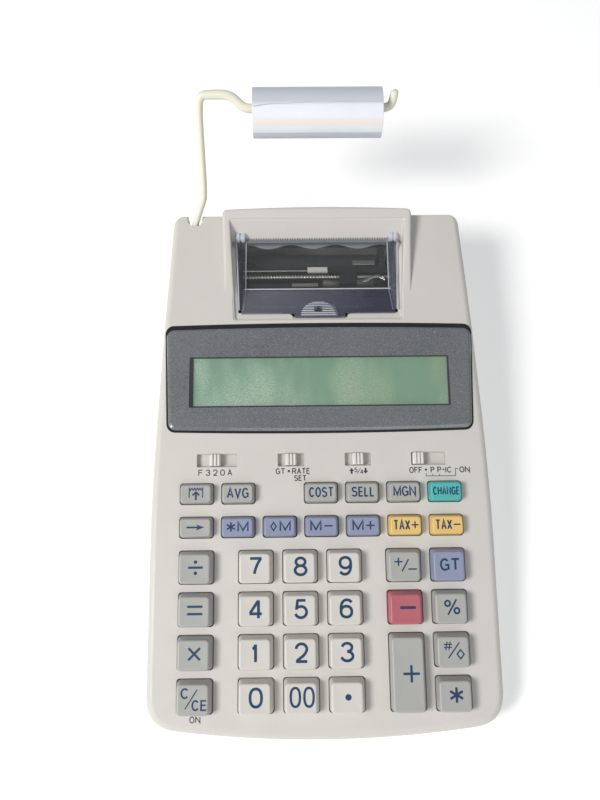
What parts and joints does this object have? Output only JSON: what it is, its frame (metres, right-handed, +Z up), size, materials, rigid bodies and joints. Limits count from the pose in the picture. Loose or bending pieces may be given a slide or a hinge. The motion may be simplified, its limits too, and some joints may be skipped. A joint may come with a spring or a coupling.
{
  "type": "printing desk calculator",
  "caption": "Wedge-shaped desk calculator with coloured keys, slide switches, smoked display, a small printer under a clear tear-off cover and a folding arm that holds a paper roll.",
  "frame": {"origin": "on the desk plane, under the middle of the bounding box of the whole object, paper roll included", "axes": "+X to the user's right, +Y away from the user along the case towards the paper roll, +Z up"},
  "size_m": [0.15, 0.2742, 0.0904],
  "materials": {
    "case": "fine moulded texture",
    "base": "fine moulded texture",
    "key_white": "satin",
    "key_grey": "satin",
    "key_blue": "satin",
    "key_teal": "satin",
    "key_yellow": "satin",
    "key_red": "satin",
    "smoked_lens": "glossy, speckled",
    "lcd": "satin",
    "silicone": "matte",
    "circuit_board": "solder mask",
    "black_plastic": "satin",
    "bright_steel": "turned",
    "brass": "turned",
    "roller_rubber": "matte",
    "ink_felt": "matte",
    "clear_plastic": "clear, glossy",
    "arm_plastic": "satin",
    "paper": "matte"
  },
  "bodies": {
    "root": {"upper_case": "case", "lower_case": "base", "display_lens": "smoked_lens", "lcd_panel": "lcd", "key_mat": "silicone", "main_board": "circuit_board", "printer_frame": "black_plastic", "printer_motor": "bright_steel", "carriage_shaft": "bright_steel", "carriage_spring": "bright_steel", "dc_jack": "black_plastic"},
    "key_feed": {"key_feed": "key_grey"},
    "key_average": {"key_average": "key_grey"},
    "key_cost": {"key_cost": "key_grey"},
    "key_sell": {"key_sell": "key_grey"},
    "key_margin": {"key_margin": "key_grey"},
    "key_change": {"key_change": "key_teal"},
    "key_backspace": {"key_backspace": "key_grey"},
    "key_memory_total": {"key_memory_total": "key_blue"},
    "key_memory_subtotal": {"key_memory_subtotal": "key_blue"},
    "key_memory_minus": {"key_memory_minus": "key_blue"},
    "key_memory_plus": {"key_memory_plus": "key_blue"},
    "key_tax_plus": {"key_tax_plus": "key_yellow"},
    "key_tax_minus": {"key_tax_minus": "key_yellow"},
    "key_divide": {"key_divide": "key_grey"},
    "key_7": {"key_7": "key_white"},
    "key_8": {"key_8": "key_white"},
    "key_9": {"key_9": "key_white"},
    "key_sign": {"key_sign": "key_grey"},
    "key_grand_total": {"key_grand_total": "key_blue"},
    "key_equals": {"key_equals": "key_grey"},
    "key_4": {"key_4": "key_white"},
    "key_5": {"key_5": "key_white"},
    "key_6": {"key_6": "key_white"},
    "key_minus": {"key_minus": "key_red"},
    "key_percent": {"key_percent": "key_grey"},
    "key_multiply": {"key_multiply": "key_grey"},
    "key_1": {"key_1": "key_white"},
    "key_2": {"key_2": "key_white"},
    "key_3": {"key_3": "key_white"},
    "key_non_add": {"key_non_add": "key_grey"},
    "key_clear": {"key_clear": "key_grey"},
    "key_0": {"key_0": "key_white"},
    "key_00": {"key_00": "key_white"},
    "key_point": {"key_point": "key_white"},
    "key_total": {"key_total": "key_grey"},
    "key_plus": {"key_plus": "key_grey"},
    "slide_decimal": {"slide_decimal": "key_white"},
    "slide_total": {"slide_total": "key_white"},
    "slide_rounding": {"slide_rounding": "key_white"},
    "slide_power": {"slide_power": "key_white"},
    "battery_cover": {"battery_cover": "base"},
    "printer_cover": {"printer_cover": "clear_plastic"},
    "paper_arm": {"paper_arm": "arm_plastic"},
    "paper_roll": {"paper_roll": "paper"},
    "print_carriage": {"print_carriage": "black_plastic"},
    "print_wheel": {"print_wheel": "black_plastic"},
    "ink_roller": {"ink_roller": "ink_felt"},
    "feed_roller": {"feed_roller": "roller_rubber"},
    "motor_pinion": {"motor_pinion": "brass"}
  },
  "joints": [
    {"name": "key_feed_press", "type": "slide", "parent": "root", "child": "key_feed", "axis": [0, 0.1392, -0.9903], "range_m": [0, 0.003], "stiffness_N_per_m": 90, "springref_m": -0.003},
    {"name": "key_average_press", "type": "slide", "parent": "root", "child": "key_average", "axis": [0, 0.1392, -0.9903], "range_m": [0, 0.003], "stiffness_N_per_m": 90, "springref_m": -0.003},
    {"name": "key_cost_press", "type": "slide", "parent": "root", "child": "key_cost", "axis": [0, 0.1392, -0.9903], "range_m": [0, 0.003], "stiffness_N_per_m": 90, "springref_m": -0.003},
    {"name": "key_sell_press", "type": "slide", "parent": "root", "child": "key_sell", "axis": [0, 0.1392, -0.9903], "range_m": [0, 0.003], "stiffness_N_per_m": 90, "springref_m": -0.003},
    {"name": "key_margin_press", "type": "slide", "parent": "root", "child": "key_margin", "axis": [0, 0.1392, -0.9903], "range_m": [0, 0.003], "stiffness_N_per_m": 90, "springref_m": -0.003},
    {"name": "key_change_press", "type": "slide", "parent": "root", "child": "key_change", "axis": [0, 0.1392, -0.9903], "range_m": [0, 0.003], "stiffness_N_per_m": 90, "springref_m": -0.003},
    {"name": "key_backspace_press", "type": "slide", "parent": "root", "child": "key_backspace", "axis": [0, 0.1392, -0.9903], "range_m": [0, 0.003], "stiffness_N_per_m": 90, "springref_m": -0.003},
    {"name": "key_memory_total_press", "type": "slide", "parent": "root", "child": "key_memory_total", "axis": [0, 0.1392, -0.9903], "range_m": [0, 0.003], "stiffness_N_per_m": 90, "springref_m": -0.003},
    {"name": "key_memory_subtotal_press", "type": "slide", "parent": "root", "child": "key_memory_subtotal", "axis": [0, 0.1392, -0.9903], "range_m": [0, 0.003], "stiffness_N_per_m": 90, "springref_m": -0.003},
    {"name": "key_memory_minus_press", "type": "slide", "parent": "root", "child": "key_memory_minus", "axis": [0, 0.1392, -0.9903], "range_m": [0, 0.003], "stiffness_N_per_m": 90, "springref_m": -0.003},
    {"name": "key_memory_plus_press", "type": "slide", "parent": "root", "child": "key_memory_plus", "axis": [0, 0.1392, -0.9903], "range_m": [0, 0.003], "stiffness_N_per_m": 90, "springref_m": -0.003},
    {"name": "key_tax_plus_press", "type": "slide", "parent": "root", "child": "key_tax_plus", "axis": [0, 0.1392, -0.9903], "range_m": [0, 0.003], "stiffness_N_per_m": 90, "springref_m": -0.003},
    {"name": "key_tax_minus_press", "type": "slide", "parent": "root", "child": "key_tax_minus", "axis": [0, 0.1392, -0.9903], "range_m": [0, 0.003], "stiffness_N_per_m": 90, "springref_m": -0.003},
    {"name": "key_divide_press", "type": "slide", "parent": "root", "child": "key_divide", "axis": [0, 0.1392, -0.9903], "range_m": [0, 0.003], "stiffness_N_per_m": 100, "springref_m": -0.003},
    {"name": "key_7_press", "type": "slide", "parent": "root", "child": "key_7", "axis": [0, 0.1392, -0.9903], "range_m": [0, 0.003], "stiffness_N_per_m": 100, "springref_m": -0.003},
    {"name": "key_8_press", "type": "slide", "parent": "root", "child": "key_8", "axis": [0, 0.1392, -0.9903], "range_m": [0, 0.003], "stiffness_N_per_m": 100, "springref_m": -0.003},
    {"name": "key_9_press", "type": "slide", "parent": "root", "child": "key_9", "axis": [0, 0.1392, -0.9903], "range_m": [0, 0.003], "stiffness_N_per_m": 100, "springref_m": -0.003},
    {"name": "key_sign_press", "type": "slide", "parent": "root", "child": "key_sign", "axis": [0, 0.1392, -0.9903], "range_m": [0, 0.003], "stiffness_N_per_m": 100, "springref_m": -0.003},
    {"name": "key_grand_total_press", "type": "slide", "parent": "root", "child": "key_grand_total", "axis": [0, 0.1392, -0.9903], "range_m": [0, 0.003], "stiffness_N_per_m": 100, "springref_m": -0.003},
    {"name": "key_equals_press", "type": "slide", "parent": "root", "child": "key_equals", "axis": [0, 0.1392, -0.9903], "range_m": [0, 0.003], "stiffness_N_per_m": 100, "springref_m": -0.003},
    {"name": "key_4_press", "type": "slide", "parent": "root", "child": "key_4", "axis": [0, 0.1392, -0.9903], "range_m": [0, 0.003], "stiffness_N_per_m": 100, "springref_m": -0.003},
    {"name": "key_5_press", "type": "slide", "parent": "root", "child": "key_5", "axis": [0, 0.1392, -0.9903], "range_m": [0, 0.003], "stiffness_N_per_m": 100, "springref_m": -0.003},
    {"name": "key_6_press", "type": "slide", "parent": "root", "child": "key_6", "axis": [0, 0.1392, -0.9903], "range_m": [0, 0.003], "stiffness_N_per_m": 100, "springref_m": -0.003},
    {"name": "key_minus_press", "type": "slide", "parent": "root", "child": "key_minus", "axis": [0, 0.1392, -0.9903], "range_m": [0, 0.003], "stiffness_N_per_m": 100, "springref_m": -0.003},
    {"name": "key_percent_press", "type": "slide", "parent": "root", "child": "key_percent", "axis": [0, 0.1392, -0.9903], "range_m": [0, 0.003], "stiffness_N_per_m": 100, "springref_m": -0.003},
    {"name": "key_multiply_press", "type": "slide", "parent": "root", "child": "key_multiply", "axis": [0, 0.1392, -0.9903], "range_m": [0, 0.003], "stiffness_N_per_m": 100, "springref_m": -0.003},
    {"name": "key_1_press", "type": "slide", "parent": "root", "child": "key_1", "axis": [0, 0.1392, -0.9903], "range_m": [0, 0.003], "stiffness_N_per_m": 100, "springref_m": -0.003},
    {"name": "key_2_press", "type": "slide", "parent": "root", "child": "key_2", "axis": [0, 0.1392, -0.9903], "range_m": [0, 0.003], "stiffness_N_per_m": 100, "springref_m": -0.003},
    {"name": "key_3_press", "type": "slide", "parent": "root", "child": "key_3", "axis": [0, 0.1392, -0.9903], "range_m": [0, 0.003], "stiffness_N_per_m": 100, "springref_m": -0.003},
    {"name": "key_non_add_press", "type": "slide", "parent": "root", "child": "key_non_add", "axis": [0, 0.1392, -0.9903], "range_m": [0, 0.003], "stiffness_N_per_m": 100, "springref_m": -0.003},
    {"name": "key_clear_press", "type": "slide", "parent": "root", "child": "key_clear", "axis": [0, 0.1392, -0.9903], "range_m": [0, 0.003], "stiffness_N_per_m": 100, "springref_m": -0.003},
    {"name": "key_0_press", "type": "slide", "parent": "root", "child": "key_0", "axis": [0, 0.1392, -0.9903], "range_m": [0, 0.003], "stiffness_N_per_m": 100, "springref_m": -0.003},
    {"name": "key_00_press", "type": "slide", "parent": "root", "child": "key_00", "axis": [0, 0.1392, -0.9903], "range_m": [0, 0.003], "stiffness_N_per_m": 100, "springref_m": -0.003},
    {"name": "key_point_press", "type": "slide", "parent": "root", "child": "key_point", "axis": [0, 0.1392, -0.9903], "range_m": [0, 0.003], "stiffness_N_per_m": 100, "springref_m": -0.003},
    {"name": "key_total_press", "type": "slide", "parent": "root", "child": "key_total", "axis": [0, 0.1392, -0.9903], "range_m": [0, 0.003], "stiffness_N_per_m": 100, "springref_m": -0.003},
    {"name": "key_plus_press", "type": "slide", "parent": "root", "child": "key_plus", "axis": [0, 0.1392, -0.9903], "range_m": [0, 0.003], "stiffness_N_per_m": 100, "springref_m": -0.003},
    {"name": "slide_decimal_slide", "type": "slide", "parent": "root", "child": "slide_decimal", "axis": [1, 0, 0], "range_m": [-0.005, 0.0068]},
    {"name": "slide_total_slide", "type": "slide", "parent": "root", "child": "slide_total", "axis": [1, 0, 0], "range_m": [-0.003, 0.003]},
    {"name": "slide_rounding_slide", "type": "slide", "parent": "root", "child": "slide_rounding", "axis": [1, 0, 0], "range_m": [-0.0029, 0.0029]},
    {"name": "slide_power_slide", "type": "slide", "parent": "root", "child": "slide_power", "axis": [1, 0, 0], "range_m": [0, 0.0094]},
    {"name": "battery_cover_slide", "type": "slide", "parent": "root", "child": "battery_cover", "axis": [0, -1, 0], "range_m": [0, 0.008]},
    {"name": "printer_cover_hinge", "type": "hinge", "parent": "root", "child": "printer_cover", "pos_m": [0, 0.08394, 0.0434], "axis": [-1, 0, 0], "range_deg": [0, 100]},
    {"name": "paper_arm_hinge", "type": "hinge", "parent": "root", "child": "paper_arm", "pos_m": [0, 0.08494, 0.034], "axis": [1, 0, 0], "range_deg": [-48, 1]},
    {"name": "paper_roll_spin", "type": "hinge", "parent": "paper_arm", "child": "paper_roll", "pos_m": [0, 0.12606, 0.07942], "axis": [1, 0, 0], "continuous": true},
    {"name": "carriage_slide", "type": "slide", "parent": "root", "child": "print_carriage", "axis": [1, 0, 0], "range_m": [-0.028, 0.01], "stiffness_N_per_m": 5, "deforming": ["carriage_spring"]},
    {"name": "print_wheel_spin", "type": "hinge", "parent": "print_carriage", "child": "print_wheel", "pos_m": [0.01525, 0.06944, 0.0236], "axis": [1, 0, 0], "continuous": true},
    {"name": "ink_roller_spin", "type": "hinge", "parent": "root", "child": "ink_roller", "pos_m": [0.026, 0.05444, 0.026], "axis": [1, 0, 0], "continuous": true},
    {"name": "feed_roller_spin", "type": "hinge", "parent": "root", "child": "feed_roller", "pos_m": [0, 0.07994, 0.024], "axis": [1, 0, 0], "continuous": true},
    {"name": "motor_pinion_spin", "type": "hinge", "parent": "root", "child": "motor_pinion", "pos_m": [0.033, 0.07606, 0.01333], "axis": [1, 0, 0], "continuous": true}
  ],
  "couplings": [
    {"joint": "motor_pinion_spin", "follows": "feed_roller_spin", "ratio": -2}
  ]
}
